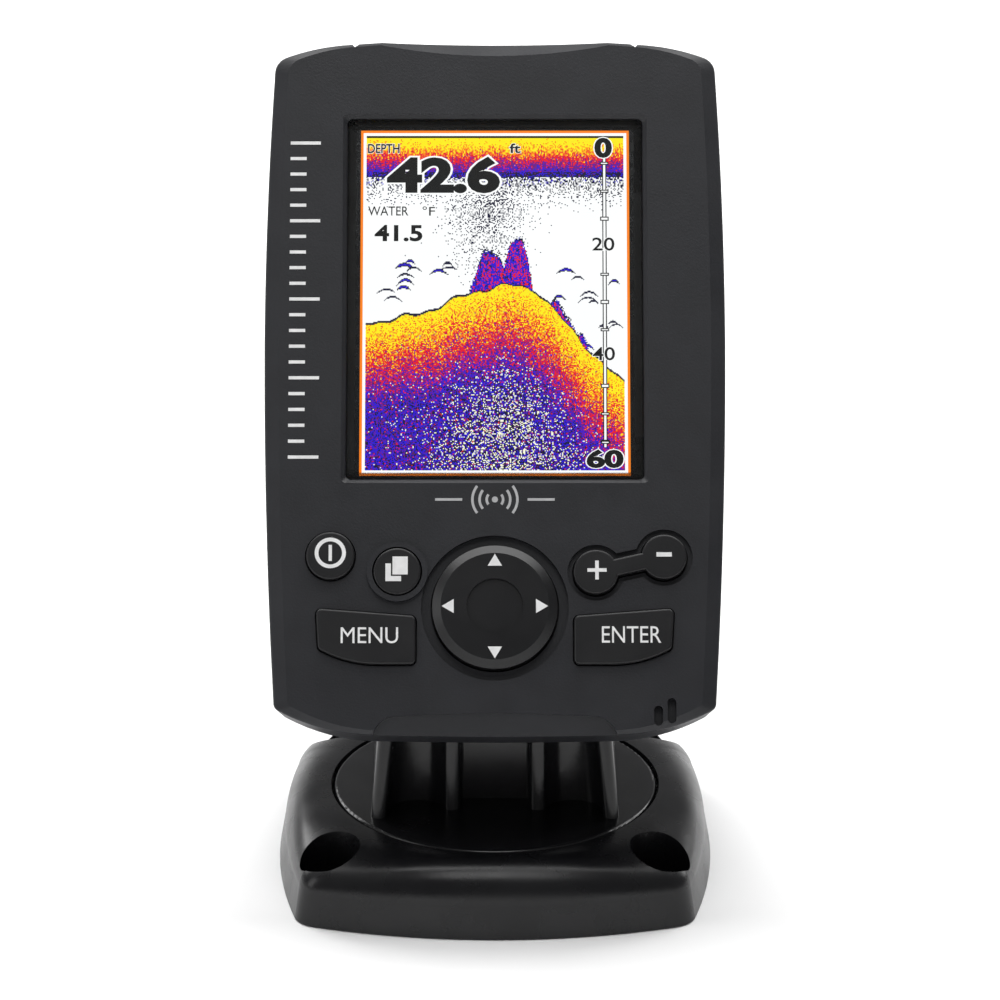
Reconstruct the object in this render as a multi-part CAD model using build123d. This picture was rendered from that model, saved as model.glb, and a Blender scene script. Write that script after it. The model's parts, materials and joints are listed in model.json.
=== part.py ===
from build123d import *
import os
from math import atan2, cos, degrees, hypot, pi, radians, sin

# Fish finder head on a swivelling, tilting, quick-release bracket. Millimetres, +Z up, front towards -Y.
# The origin is the centre of the underside of the bracket base.
# The head is drawn in its own frame: X across, Z up the face, Y the depth behind the face, with the
# origin at the display's centre. HEAD then leans it back about the tilt axle.

# ---- pose ----
TILT = 34.0
AXLE_Y = 2.5
AXLE_Z = 46.6
AXLE_DEPTH = 27.0
AXLE_V = -61.0
HEAD_Y = AXLE_Y - AXLE_DEPTH * cos(radians(TILT)) - AXLE_V * sin(radians(TILT))
HEAD_Z = AXLE_Z + AXLE_DEPTH * sin(radians(TILT)) - AXLE_V * cos(radians(TILT))
HEAD = Pos(0, HEAD_Y, HEAD_Z) * Rot(-TILT, 0, 0)

# ---- head outline ----
TOP_V = 53.8
SHOULDER = (29.0, 52.7)
SHOULDER_MID = (36.6, 51.6)
TOP_CORNER = (43.8, 49.2)
SIDE_UPPER_MID = (45.1, 20.0)
SIDE_WIDEST = (45.5, -9.0)
SIDE_LOWER_MID = (44.75, -46.0)
BOTTOM_CORNER = (43.0, -81.8)
BOTTOM_SWEEP_MID = (34.8, -85.3)
BOTTOM_FLAT_END = (24.0, -87.0)
BOTTOM_V = -87.3
OUTLINE_CENTRE_V = (TOP_V + BOTTOM_V) / 2
OUTLINE_HALF_V = (TOP_V - BOTTOM_V) / 2
TOP_CORNER_R = 3.4
LOW_CORNER_R = 1.6
BEVEL_W = 2.9
BEVEL_V = 0.7
BEVEL_DEPTH = 0.9
FRONT_EDGE_R = 0.5
NOTCH = ((25.4, 54.2), (28.0, 51.9), (29.4, 54.2))
NOTCH_DEPTH = 3.0

# ---- bezel ----
BEZEL_DEPTH = 15.0
BEZEL_REAR_INSET = 1.1
BEZEL_WALL = 3.7
SEAL_OUT = 1.9
SEAL_IN = 3.0
PANEL = 2.4
WINDOW_HALF_W = 29.3
WINDOW_TOP = 37.2
WINDOW_BOTTOM = -36.3
WINDOW_LIP = 0.9
LENS_FRONT = 0.7
LENS_BACK = 2.3
POCKET_BACK = 2.6
LEDGE_BACK = 3.8
LEDGE_W = 1.6
GAP = 0.15
SCOOP_TOP_V = 50.06
SCOOP_TOP_R = 150.0
SCOOP_TOP_ANGLE = 40.0
SCOOP_LOW_TOP = -82.9
SCOOP_LOW_TOP_END = (20.3, -83.5)
SCOOP_LOW_END_MID = (22.7, -85.1)
SCOOP_LOW_END = (23.9, -89.4)
SCOOP_LOW_STEP = 0.35
SCOOP_LOW_DEPTH = 2.3

# ---- keys: centre across, centre up, radius ----
KEY_GAP = 0.25
KEY_PROUD = 1.1
KEY_EDGE_R = 0.45
FLANGE_FRONT = 2.5
FLANGE_BACK = 3.3
FLANGE_OUT = 0.8
STEM_BACK = 8.5
STEM_R = 1.6
POWER = (-32.1, -51.9, 4.75)
PAGES = (-19.05, -55.0, 4.65)
PAGES_RIM_R = 5.95
PAGES_RIM_PROUD = 0.8
PLUS = (19.7, -55.1, 4.4)
MINUS = (33.0, -52.1, 4.45)
ZOOM_BRIDGE = 3.4
ZOOM_FLANGE_OUT = 0.6
ZOOM_FLANGE_DROP = 0.5
ZOOM_RECESS = 1.15
ZOOM_RECESS_DEPTH = 0.9
KEY_INNER_X = 15.4
KEY_OUTER_X = 34.9
KEY_TOP_INNER_V = -63.8
KEY_TOP_OUTER_V = -62.3
KEY_LOW_V = -73.4
KEY_LOW_OUTER_V = -70.3
KEY_CORNER_R = 1.1
PAD = (0.0, -62.1, 12.2)
PAD_PROUD = 1.9
PAD_BEVEL_OUT = 1.65
PAD_BEVEL_DOWN = 1.0
PAD_GAP = 0.35
PAD_GROOVE_R = 14.4
PAD_GROOVE_DEPTH = 1.2
PAD_DIMPLE_R = 5.5
PAD_DIMPLE_DEPTH = 0.45
PAD_FLANGE_FRONT = 3.4
PAD_FLANGE_BACK = 4.1
PAD_NUB_REACH = 8.4
PAD_HUB_R = 3.0

# ---- bezel slots at the lower right corner: centre across, top, bottom ----
SLOTS = ((31.75, -81.4, -85.3), (34.35, -79.9, -84.8))
SLOT_W = 1.7
SLOT_DEPTH = 1.6

# ---- display stack and board ----
LCD_HALF_W = 29.0
LCD_TOP = 37.6
LCD_BOTTOM = -39.4
LCD_FRONT = 4.1
LCD_BACK = 6.2
BACKLIGHT_BACK = 8.4
TRAY_BACK = 9.0
TRAY_WALL = 1.2
BOARD_FRONT = 10.0
BOARD_BACK = 11.4
BOARD_HALF_W = 35.4
BOARD_TOP = 38.0
BOARD_BOTTOM = -79.5
MEMBRANE_FRONT = 4.4
MEMBRANE_BACK = 5.2
MEMBRANE_HALF_W = 37.4
MEMBRANE_TOP = -45.2
MEMBRANE_BOTTOM = -74.0
DOME_R = 2.5
DOME_FRONT = 9.4

# ---- on the board: centre across, centre up, then sizes ----
BOARD_SCREWS = ((33.0, 33.0), (33.0, -42.9))
POST_R = 2.1
BOARD_SCREW_TIP = 6.6
SHIELD = (-12.0, 14.0, 30.0, 26.0)
CHIP = (-11.0, -18.0, 14.0)
TRANSFORMER = (17.0, 12.0, 15.0, 13.0)
CAPACITORS = ((14.0, -8.0), (23.0, -8.0))
CAPACITOR_R = 4.0
BUZZER = (-23.0, -36.0, 6.0)

# ---- rear case ----
CASE_BACK = 31.0
CASE_WALL = 2.2
CASE_DRAFT = 3.6
CASE_BEVEL_W = 4.5
CASE_BEVEL_DEPTH = 5.0
CASE_EDGE_R = 1.0
CASE_INSET = 1.4
RECESS_HALF_W = 26.5
RECESS_FRONT = 15.0
RECESS_TOP = -49.6
BOSS_R = 3.2
SCREW_R = 1.45
CASE_SCREWS = ((36.2, 42.6), (38.2, -8.0), (33.4, -77.2))
SCREW_SEAT = 22.0
SCREW_HEAD_R = 2.7
SCREW_HEAD_H = 1.9
SCREW_TIP = 6.0
GROOVE_COUNT = 5
GROOVE_TOP = 34.0
GROOVE_PITCH = 5.0
GROOVE_LENGTH = 52.0
GROOVE_W = 1.8
GROOVE_DEPTH = 0.8

# ---- cable socket and vent on the back ----
SOCKET_V = -26.0
SOCKET_R = 8.6
SOCKET_BORE_R = 6.2
SOCKET_INNER_R = 5.4
SOCKET_MOUTH = 38.0
SOCKET_STEP = 33.0
SOCKET_FLOOR = 28.0
SOCKET_NECK_R = 7.4
SOCKET_BACK = 25.0
PIN_R = 0.6
PIN_RING = 3.2
PIN_COUNT = 5
PIN_TIP = 32.4
VENT = (24.0, -26.0)

# ---- bracket base ----
FOOT_FRONT = 43.0
FOOT_SIDE = 43.6
FOOT_FRONT_CORNER = ((35.4, 37.5), (38.0, 36.0), (39.4, 33.6))
FOOT_REAR_CORNER = ((41.9, 21.5), (36.5, 34.3), (23.0, 40.7))
FOOT_DRAFT = 1.2
BASE_WALL_H = 6.5
BASE_TOP_Z = 14.0
BASE_TOP_R = 34.0
DOME_STEPS = 4
HOLLOW_INSET = 4.5
HOLLOW_Z = 4.4
RIB_T = 1.8
HUB_R = 16.0
SCREW_X = 32.5
SCREW_Y = 28.5
SCREW_HOLE_R = 2.65
SCREW_POCKET_R = 6.0
SCREW_POCKET_Z = 5.2
SCREW_SEAT_R = 4.3
SCREW_SEAT_Z = 3.3
SCREW_BOSS_R = 7.4

# ---- swivel ----
DISC_R = 32.5
DISC_GAP = 0.6
DISC_UNDER_Z = 9.0
DISC_SEAT_Z = 8.9
SPIGOT_R = 10.0
RUNNING = 0.05
SPIGOT_Z = 3.6
SWIVEL_SCREW_R = 2.1
SWIVEL_HEAD_R = 4.6

# ---- yoke ----
LEG_TOP_R = 9.0
LEG_T = 3.2
LEG_X = 21.4
LEG_OUT = LEG_X + LEG_T / 2
LEG_IN = LEG_X - LEG_T / 2
LEG_EDGE_R = 1.1
TOWER_TOP_Z = 30.8
TOWER_TROUGH = ((-16.0, 31.0), (-12.0, 29.6), (-7.5, 28.2), (-4.0, 26.4), (30, 26.4), (30, 35), (-16, 35))
TOWER_FOOT = {"leg_x": 23.2, "leg_y": 17.7, "rib_y": 13.7, "panel_y": 8.0, "hollow_y": 8.8}
TOWER_BEND = {"leg_x": 21.6, "leg_y": 14.9, "rib_y": 11.9, "panel_y": 7.1, "hollow_y": 7.6}
RIB_IN_X = 6.8
RIB_OUT_X = 10.4
RIB_ROUND = 1.8
PANEL_CORNER = 0.8

# ---- axle, shoe and lever, measured in the head's frame ----
AXLE_R = 3.0
AXLE_HALF = 24.5
CLIP_R = 5.0
WASHER_R = 6.0
SHOE_HUB_R = 7.6
SHOE_END_R = 6.2
SHOE_HALF = 18.4
TEE_HALF = 13.2
TEE_FRONT = 15.2
TEE_BACK = 18.4
TEE_TOP = -52.02
TEE_BOTTOM = -75.0
NECK_HALF = 10.6
RAIL_OUT = 16.0
RAIL_BACK = 20.6
RAIL_LIP = 11.0
RAIL_CLEAR = 0.25
RAIL_TOP = -52.0
RAIL_BOTTOM = -76.0
LEVER_DEPTH = 30.5
LEVER_V = -73.0
LEVER_PIN_R = 1.25
LEVER_HALF = 7.0
LEVER_T = 2.4
EAR_IN = 7.3
EAR_OUT = 9.8
NOSE_DEPTH = 18.6
NOSE_V = -77.4
THUMB_DEPTH = 43.5
THUMB_V = -67.5


# ---- helpers ----
def slab(profile, front, back):
    """Solid of an outline drawn on the face, from one depth behind the face to another."""
    return extrude(Plane.XZ.offset(-front) * profile, amount=front - back)


def peg(u, v, radius, front, back):
    """Round solid standing square to the face."""
    return slab(Pos(u, v) * Circle(radius), front, back)


def mirrored_pair(points):
    """The same places on both sides of the centre line."""
    return [(side * u, v) for u, v in points for side in (-1, 1)]


def cross_slab(profile, half_width):
    """Solid of a side-view outline (depth, height), symmetric about the centre plane."""
    return extrude(Plane.YZ * profile, amount=half_width, both=True)


def ring(outer, inner, low, high):
    """Flat washer about the vertical axis."""
    return Pos(0, 0, low) * extrude(Circle(outer) - Circle(inner), amount=high - low)


def head_outline(inset=0.0, inset_v=None):
    """Face outline, smaller by an inset: bulging sides, arched top, bottom sweeping up to its corners."""
    shrink_u = 1 - inset / SIDE_WIDEST[0]
    shrink_v = 1 - (inset if inset_v is None else inset_v) / OUTLINE_HALF_V

    def at(u, v):
        return (u * shrink_u, OUTLINE_CENTRE_V + (v - OUTLINE_CENTRE_V) * shrink_v)

    half = [
        ThreePointArc(at(0, TOP_V), at(SHOULDER[0] / 2, TOP_V - 0.28), at(*SHOULDER)),
        ThreePointArc(at(*SHOULDER), at(*SHOULDER_MID), at(*TOP_CORNER)),
        ThreePointArc(at(*TOP_CORNER), at(*SIDE_UPPER_MID), at(*SIDE_WIDEST)),
        ThreePointArc(at(*SIDE_WIDEST), at(*SIDE_LOWER_MID), at(*BOTTOM_CORNER)),
        ThreePointArc(at(*BOTTOM_CORNER), at(*BOTTOM_SWEEP_MID), at(*BOTTOM_FLAT_END)),
        ThreePointArc(at(*BOTTOM_FLAT_END), at(BOTTOM_FLAT_END[0] / 2, BOTTOM_V + 0.1), at(0, BOTTOM_V)),
    ]
    face = make_face(half + [edge.mirror(Plane.YZ) for edge in half])
    for corner, radius in ((TOP_CORNER, TOP_CORNER_R), (BOTTOM_CORNER, LOW_CORNER_R)):
        u, v = at(*corner)
        near = [vertex for vertex in face.vertices() if hypot(abs(vertex.X) - u, vertex.Y - v) < 0.1]
        face = fillet(near, radius)
    return face


def between(front, front_outline, back, back_outline):
    """Solid between two sizes of the same outline at two depths."""
    near = Plane.XZ.offset(-front) * front_outline
    far = Plane.XZ.offset(-back) * back_outline
    return loft([near, far], ruled=True)


def rounded_window(inset):
    """The display window's outline, smaller by the inset on every side."""
    width = 2 * (WINDOW_HALF_W - inset)
    height = WINDOW_TOP - WINDOW_BOTTOM - 2 * inset
    return Pos(0, (WINDOW_TOP + WINDOW_BOTTOM) / 2) * RectangleRounded(width, height, 1.0)


def side_key_outline(side, grow=0.0):
    """Outline of a wide key: straight top and sides, and a lower edge that rises outwards."""
    inner = side * KEY_INNER_X
    outer = side * KEY_OUTER_X
    low_mid = (side * (KEY_OUTER_X - 8.5), KEY_LOW_V + 0.1)
    flat_end = (side * (KEY_OUTER_X - 12.0), KEY_LOW_V)
    edges = [
        Line((inner, KEY_TOP_INNER_V), (outer, KEY_TOP_OUTER_V)),
        Line((outer, KEY_TOP_OUTER_V), (outer - side * 0.5, KEY_LOW_OUTER_V)),
        ThreePointArc((outer - side * 0.5, KEY_LOW_OUTER_V), (side * 29.4, KEY_LOW_V + 0.95), flat_end),
        Line(flat_end, (inner, KEY_LOW_V)),
        Line((inner, KEY_LOW_V), (inner, KEY_TOP_INNER_V)),
    ]
    face = make_face(edges)
    corners = [vertex for vertex in face.vertices() if abs(vertex.X - flat_end[0]) > 1.0]
    face = fillet(corners, KEY_CORNER_R)
    return offset(face, amount=grow) if grow else face


def zoom_outline(grow=0.0):
    """Two round pads joined by a narrow bridge, grown on every side."""
    span = (MINUS[0] - PLUS[0], MINUS[1] - PLUS[1])
    middle = ((MINUS[0] + PLUS[0]) / 2, (MINUS[1] + PLUS[1]) / 2)
    length = (span[0] ** 2 + span[1] ** 2) ** 0.5
    turn = Rot(0, 0, degrees(atan2(span[1], span[0])))
    bridge = Pos(*middle) * turn * Rectangle(length, ZOOM_BRIDGE + 2 * grow)
    discs = [Pos(u, v) * Circle(r + grow) for u, v, r in (PLUS, MINUS)]
    return bridge + discs[0] + discs[1]


def round_key_outline(key, grow=0.0):
    """Outline of a round key."""
    return Pos(key[0], key[1]) * Circle(key[2] + grow)


def front_edges(shape, depth, tolerance=0.02):
    """Edges that lie in the plane at one depth behind the face."""
    picked = []
    for edge in shape.edges():
        box = edge.bounding_box()
        if max(abs(box.min.Y - depth), abs(box.max.Y - depth)) < tolerance:
            picked.append(edge)
    return picked


# ---- head: front ----
def top_scoop():
    """Shallow lens-shaped bevel on the top edge, cut by a large leaning cylinder."""
    lean = Pos(0, 0, SCOOP_TOP_V) * Rot(-90 + SCOOP_TOP_ANGLE, 0, 0)
    return lean * Pos(0, -SCOOP_TOP_R, 0) * Cylinder(SCOOP_TOP_R, 40)


def low_scoop():
    """Shallow bevel in the middle of the bottom edge: arched top with a small step, rounded ends."""
    right = SCOOP_LOW_TOP_END
    plan = make_face(
        [
            ThreePointArc((-right[0], right[1]), (0, SCOOP_LOW_TOP), right),
            ThreePointArc(right, SCOOP_LOW_END_MID, SCOOP_LOW_END),
            Line(SCOOP_LOW_END, (-SCOOP_LOW_END[0], SCOOP_LOW_END[1])),
            ThreePointArc(right, SCOOP_LOW_END_MID, SCOOP_LOW_END).mirror(Plane.YZ),
        ]
    )
    slope = make_face(
        Polyline(
            (-1, SCOOP_LOW_TOP + 1),
            (SCOOP_LOW_STEP, SCOOP_LOW_TOP + 1),
            (SCOOP_LOW_STEP, SCOOP_LOW_TOP),
            (SCOOP_LOW_DEPTH, BOTTOM_V - 1),
            (-1, BOTTOM_V - 1),
            close=True,
        )
    )
    return slab(plan, -1, SCOOP_LOW_DEPTH + 1) & cross_slab(slope, SCOOP_LOW_END[0] + 2)


def top_notches():
    """Small V cuts in the front of the top edge, one at each end of the scoop."""
    right = slab(make_face(Polyline(*NOTCH, close=True)), -1, NOTCH_DEPTH)
    return right + right.mirror(Plane.YZ)


def bezel_bosses():
    """Screw bosses inside the bezel, open at the back."""
    bosses = [peg(u, v, BOSS_R, PANEL - 0.2, BEZEL_DEPTH - 0.4) for u, v in mirrored_pair(CASE_SCREWS)]
    return bosses[0].fuse(*bosses[1:])


def make_front_bezel():
    body = between(0, head_outline(BEVEL_W, BEVEL_V), BEVEL_DEPTH, head_outline())
    body += between(BEVEL_DEPTH, head_outline(), BEZEL_DEPTH, head_outline(BEZEL_REAR_INSET))
    body = fillet(front_edges(body, BEVEL_DEPTH), FRONT_EDGE_R)
    body -= top_notches()
    body -= top_scoop()
    body -= low_scoop()
    cavity = slab(head_outline(BEZEL_WALL), PANEL, BEZEL_DEPTH + 1)
    ledge = slab(rounded_window(-1.5), PANEL - 0.1, LEDGE_BACK)
    body -= cavity
    body += ledge & slab(head_outline(0.5), PANEL - 0.1, LEDGE_BACK)
    body += bezel_bosses() & slab(head_outline(0.5), PANEL - 0.3, BEZEL_DEPTH)
    for u, v in mirrored_pair(BOARD_SCREWS):
        body += peg(u, v, POST_R, PANEL - 0.2, BOARD_FRONT)
        body -= peg(u, v, SCREW_R, BOARD_SCREW_TIP - 1, BOARD_FRONT + 1)
    body -= slab(rounded_window(0), -1, POCKET_BACK)
    body -= slab(rounded_window(LEDGE_W), -1, LEDGE_BACK + 1)
    lip_front = Plane.XZ.offset(0.01) * rounded_window(-WINDOW_LIP)
    lip_back = Plane.XZ.offset(-WINDOW_LIP) * rounded_window(0)
    body -= loft([lip_front, lip_back])
    body -= peg(PAD[0], PAD[1], PAD[2] + PAD_GAP, -1, PANEL + 1)
    body -= slab(round_key_outline(PAD, PAD_GROOVE_R - PAD[2]), -1, PAD_GROOVE_DEPTH)
    body += slab(round_key_outline(PAGES, PAGES_RIM_R - PAGES[2]), -PAGES_RIM_PROUD, 0.5)
    for key in (POWER, PAGES):
        body -= slab(round_key_outline(key, KEY_GAP), -2, PANEL + 1)
    body -= slab(zoom_outline(ZOOM_RECESS), -1, ZOOM_RECESS_DEPTH)
    body -= slab(zoom_outline(KEY_GAP), -1, PANEL + 1)
    for side in (-1, 1):
        body -= slab(side_key_outline(side, KEY_GAP), -1, PANEL + 1)
    for u, top, bottom in SLOTS:
        slot = Pos(u, (top + bottom) / 2) * SlotOverall(top - bottom, SLOT_W, rotation=90)
        body -= slab(slot, -1, SLOT_DEPTH)
    for u, v in mirrored_pair(CASE_SCREWS):
        body -= peg(u, v, SCREW_R, SCREW_TIP - 1, BEZEL_DEPTH + 1)
    body -= seal_ring()
    return body


def seal_ring():
    """Rubber cord lying in the groove of the bezel's rear rim."""
    band = head_outline(SEAL_OUT) - head_outline(SEAL_IN)
    return slab(band, BEZEL_DEPTH - 0.9, BEZEL_DEPTH)


def make_case_seal():
    return seal_ring()


def make_window_lens():
    lens = slab(rounded_window(GAP), LENS_FRONT, LENS_BACK)
    return chamfer(front_edges(lens, LENS_FRONT), 0.25)


def make_lens_gasket():
    return slab(rounded_window(GAP) - rounded_window(LEDGE_W + 0.1), LENS_BACK, POCKET_BACK)


def lcd_outline(grow=0.0):
    """Outline of the display module, grown on every side."""
    centre = (LCD_TOP + LCD_BOTTOM) / 2
    return Pos(0, centre) * Rectangle(2 * (LCD_HALF_W + grow), LCD_TOP - LCD_BOTTOM + 2 * grow)


def make_lcd_panel():
    return slab(lcd_outline(), LCD_FRONT, LCD_BACK)


def make_backlight():
    return slab(lcd_outline(-0.3), LCD_BACK, BACKLIGHT_BACK)


def make_lcd_frame():
    tray = slab(lcd_outline(TRAY_WALL), LCD_FRONT - 0.1, TRAY_BACK)
    return tray - slab(lcd_outline(0.1), LCD_FRONT - 1, BACKLIGHT_BACK)


# ---- keys ----
def key_solid(outline, flange, stems, drop=0.0):
    """Moulded key: rounded top, a flange that stops it behind the panel, and stems to its switches."""
    cap = slab(outline, -KEY_PROUD, FLANGE_FRONT + drop + 0.1)
    cap = fillet(front_edges(cap, -KEY_PROUD), KEY_EDGE_R)
    cap += slab(flange, FLANGE_FRONT + drop, FLANGE_BACK + drop)
    for u, v in stems:
        cap += peg(u, v, STEM_R, FLANGE_BACK + drop - 0.1, STEM_BACK)
    return cap


def make_power_key():
    return key_solid(round_key_outline(POWER), round_key_outline(POWER, FLANGE_OUT), [POWER[:2]])


def make_pages_key():
    return key_solid(round_key_outline(PAGES), round_key_outline(PAGES, FLANGE_OUT), [PAGES[:2]])


def side_key_stems(side):
    """Places of the two stems under a wide key."""
    return [(side * 20.5, -68.4), (side * 29.5, -67.2)]


def make_menu_key():
    return key_solid(side_key_outline(-1), side_key_outline(-1, FLANGE_OUT), side_key_stems(-1))


def make_enter_key():
    return key_solid(side_key_outline(1), side_key_outline(1, FLANGE_OUT), side_key_stems(1))


def make_zoom_rocker():
    return key_solid(zoom_outline(), zoom_outline(ZOOM_FLANGE_OUT), [PLUS[:2], MINUS[:2]], ZOOM_FLANGE_DROP)


def pad_nubs():
    """Places of the four switch nubs under the direction pad."""
    return [(PAD[0] + 8.6 * cos(a * pi / 2), PAD[1] + 8.6 * sin(a * pi / 2)) for a in range(4)]


def make_direction_pad():
    u, v, r = PAD
    pad = peg(u, v, r, -PAD_PROUD, PAD_FLANGE_FRONT + 0.1)
    pad = chamfer(front_edges(pad, -PAD_PROUD), PAD_BEVEL_DOWN, PAD_BEVEL_OUT)
    pad -= peg(u, v, PAD_DIMPLE_R, -PAD_PROUD - 1, -PAD_PROUD + PAD_DIMPLE_DEPTH)
    pad += peg(u, v, r + 1.2, PAD_FLANGE_FRONT, PAD_FLANGE_BACK)
    pad += peg(u, v, PAD_HUB_R, PAD_FLANGE_BACK - 0.1, 7.6)
    for nub_u, nub_v in pad_nubs():
        pad += peg(nub_u, nub_v, STEM_R, PAD_FLANGE_BACK - 0.1, PAD_NUB_REACH)
    return pad


def make_pad_pivot_ring():
    u, v, _ = PAD
    return slab(Pos(u, v) * (Circle(5.6) - Circle(3.8)), 5.6, 7.4)


def switch_places():
    """Centre of every dome switch on the board."""
    places = [POWER[:2], PAGES[:2], PLUS[:2], MINUS[:2]]
    return places + side_key_stems(-1) + side_key_stems(1) + pad_nubs()


def make_keypad_membrane():
    centre = (MEMBRANE_TOP + MEMBRANE_BOTTOM) / 2
    sheet = Pos(0, centre) * RectangleRounded(2 * MEMBRANE_HALF_W, MEMBRANE_TOP - MEMBRANE_BOTTOM, 3)
    sheet -= round_key_outline(PAD, 2.2)
    for u, v in switch_places()[:8]:
        sheet -= Pos(u, v) * Circle(STEM_R + 0.35)
    return slab(sheet, MEMBRANE_FRONT, MEMBRANE_BACK)


def make_dome_switches():
    return Compound([peg(u, v, DOME_R, DOME_FRONT, BOARD_FRONT) for u, v in switch_places()])


# ---- board and what it carries ----

def make_main_board():
    centre = (BOARD_TOP + BOARD_BOTTOM) / 2
    board = Pos(0, centre) * RectangleRounded(2 * BOARD_HALF_W, BOARD_TOP - BOARD_BOTTOM, 2)
    for u, v in mirrored_pair(CASE_SCREWS):
        board -= Pos(u, v) * Circle(BOSS_R + 0.6)
    for u, v in mirrored_pair(BOARD_SCREWS):
        board -= Pos(u, v) * Circle(SCREW_R)
    return slab(board, BOARD_FRONT, BOARD_BACK)


def make_board_screws():
    screws = []
    for u, v in mirrored_pair(BOARD_SCREWS):
        head = fillet(front_edges(peg(u, v, 2.4, BOARD_BACK, BOARD_BACK + 1.5), BOARD_BACK + 1.5), 0.5)
        screws.append(head + peg(u, v, SCREW_R, BOARD_SCREW_TIP, BOARD_BACK + 0.1))
    return Compound(screws)


def box_on_board(u, v, width, height, thick, edge):
    """Block standing on the rear of the board."""
    block = slab(Pos(u, v) * RectangleRounded(width, height, edge), BOARD_BACK, BOARD_BACK + thick)
    return fillet(front_edges(block, BOARD_BACK + thick), 0.3)


def make_shield_can():
    return box_on_board(*SHIELD, 3.4, 1.0)


def make_processor_chip():
    return box_on_board(CHIP[0], CHIP[1], CHIP[2], CHIP[2], 1.6, 0.4)


def make_sonar_transformer():
    u, v, width, height = TRANSFORMER
    core = box_on_board(u, v, width, height, 11.0, 0.6)
    winding = slab(Pos(u, v) * RectangleRounded(width - 5, height + 3, 2), BOARD_BACK + 1.5, BOARD_BACK + 9.5)
    return core + winding


def make_capacitors():
    cans = []
    for u, v in CAPACITORS:
        can = peg(u, v, CAPACITOR_R, BOARD_BACK, BOARD_BACK + 10.5)
        cans.append(fillet(front_edges(can, BOARD_BACK + 10.5), 0.5))
    return Compound(cans)


def make_buzzer():
    u, v, r = BUZZER
    can = peg(u, v, r, BOARD_BACK, BOARD_BACK + 5.5)
    can = fillet(front_edges(can, BOARD_BACK + 5.5), 0.5)
    return can - peg(u, v, 0.9, BOARD_BACK + 4.5, BOARD_BACK + 6)


# ---- head: rear ----
def case_body(inset, back):
    """Rear shell's form: drafted walls, a bevel all round and a flat back, smaller by the inset."""
    bevel = back - CASE_BEVEL_DEPTH
    waist = head_outline(inset + CASE_DRAFT)
    form = between(BEZEL_DEPTH, head_outline(inset), bevel, waist)
    return form + between(bevel, waist, back, head_outline(inset + CASE_DRAFT + CASE_BEVEL_W))


def recess_profile(grow):
    """Side view of the bracket recess, open at the bottom and the back."""
    top = RECESS_TOP + grow
    front = RECESS_FRONT - grow
    back = CASE_BACK + 5
    low = BOTTOM_V - 5
    return make_face(Polyline((front, low), (front, top), (back, top), (back, low), close=True))


def rails():
    """Pair of hooked rails on the recess wall that the bracket's tee slides in."""
    section = []
    for side in (-1, 1):
        web = Pos(side * (RAIL_OUT + TEE_HALF + RAIL_CLEAR) / 2, (RAIL_TOP + RAIL_BOTTOM) / 2) * Rectangle(
            RAIL_OUT - TEE_HALF - RAIL_CLEAR, RAIL_TOP - RAIL_BOTTOM
        )
        lip = Pos(side * (RAIL_OUT + RAIL_LIP) / 2, (RAIL_TOP + RAIL_BOTTOM) / 2) * Rectangle(
            RAIL_OUT - RAIL_LIP, RAIL_TOP - RAIL_BOTTOM
        )
        section.append(slab(web, RECESS_FRONT - 0.2, RAIL_BACK))
        section.append(slab(lip, TEE_BACK + RAIL_CLEAR, RAIL_BACK))
    height = RECESS_TOP - RAIL_TOP + 0.2
    block = Pos(0, RAIL_TOP + height / 2) * Rectangle(2 * RAIL_OUT, height)
    stop = slab(block, RECESS_FRONT - 0.2, RAIL_BACK)
    return section[0].fuse(*section[1:], stop)


def make_rear_case():
    body = case_body(CASE_INSET, CASE_BACK)
    body = fillet(front_edges(body, CASE_BACK) + front_edges(body, CASE_BACK - CASE_BEVEL_DEPTH), CASE_EDGE_R)
    cavity = case_body(CASE_INSET + CASE_WALL, CASE_BACK - CASE_WALL)
    cavity += slab(head_outline(CASE_INSET + CASE_WALL), BEZEL_DEPTH - 1, BEZEL_DEPTH + 0.5)
    cavity -= cross_slab(recess_profile(CASE_WALL), RECESS_HALF_W + CASE_WALL)
    for u, v in mirrored_pair(CASE_SCREWS):
        cavity -= peg(u, v, SCREW_HEAD_R + 1.8, BEZEL_DEPTH, CASE_BACK)
    body -= cavity
    body -= cross_slab(recess_profile(0), RECESS_HALF_W)
    body += rails()
    for u, v in mirrored_pair(CASE_SCREWS):
        body -= peg(u, v, SCREW_R + 0.15, BEZEL_DEPTH - 2, CASE_BACK + 1)
        body -= peg(u, v, SCREW_HEAD_R + 0.3, SCREW_SEAT, CASE_BACK + 1)
    body -= peg(0, SOCKET_V, SOCKET_NECK_R, CASE_BACK - CASE_WALL - 2, CASE_BACK + 1)
    body -= peg(VENT[0], VENT[1], 3.0, CASE_BACK - CASE_WALL - 2, CASE_BACK + 1)
    for i in range(GROOVE_COUNT):
        v = GROOVE_TOP - i * GROOVE_PITCH
        groove = Pos(0, v) * SlotOverall(GROOVE_LENGTH, GROOVE_W)
        body -= slab(groove, CASE_BACK - GROOVE_DEPTH, CASE_BACK + 1)
    return body


def make_case_screws():
    screws = []
    for u, v in mirrored_pair(CASE_SCREWS):
        head = peg(u, v, SCREW_HEAD_R, SCREW_SEAT, SCREW_SEAT + SCREW_HEAD_H)
        head = fillet(front_edges(head, SCREW_SEAT + SCREW_HEAD_H), 0.6)
        for turn in (0, 90):
            slot = Pos(u, v) * Rot(0, 0, turn) * Rectangle(3.2, 0.7)
            head -= slab(slot, SCREW_SEAT + SCREW_HEAD_H - 1.1, SCREW_SEAT + SCREW_HEAD_H + 1)
        screws.append(head + peg(u, v, SCREW_R, SCREW_TIP, SCREW_SEAT + 0.1))
    return Compound(screws)


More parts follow.
